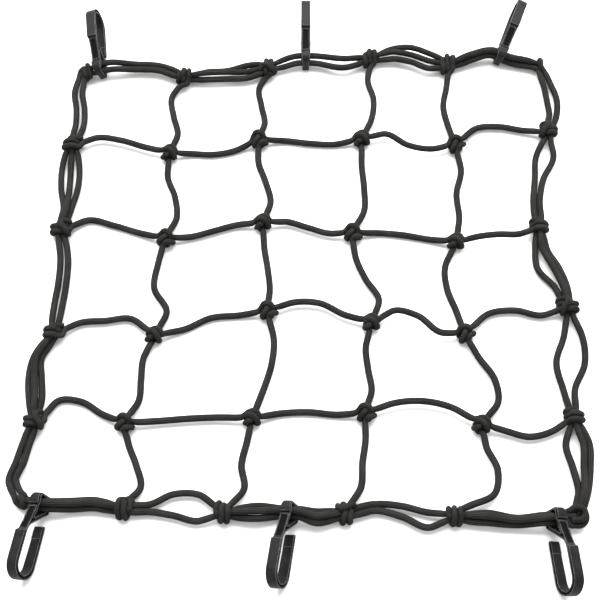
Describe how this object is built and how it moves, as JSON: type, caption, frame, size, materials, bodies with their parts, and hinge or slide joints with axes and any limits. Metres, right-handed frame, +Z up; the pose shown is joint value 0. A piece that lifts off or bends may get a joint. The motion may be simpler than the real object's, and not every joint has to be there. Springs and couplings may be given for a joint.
{
  "type": "cargo net",
  "caption": "Slack square cargo net of knotted elastic cord with doubled edges and moulded J hooks, for holding down loads.",
  "frame": {"origin": "on the surface the net lies on, under the middle of the box around net and hooks", "axes": "+Z up from the surface; +Y towards the far edge with hooks 1 to 3; +X to the right, along the hooked edges"},
  "size_m": [0.4414, 0.5271, 0.0252],
  "materials": {
    "elastic_cord": "braided sheath, matt",
    "moulded_nylon": "satin moulded"
  },
  "bodies": {
    "root": {"net": "elastic_cord", "hook_1": "moulded_nylon", "hook_2": "moulded_nylon", "hook_3": "moulded_nylon", "hook_4": "moulded_nylon", "hook_5": "moulded_nylon", "hook_6": "moulded_nylon"}
  },
  "joints": []
}
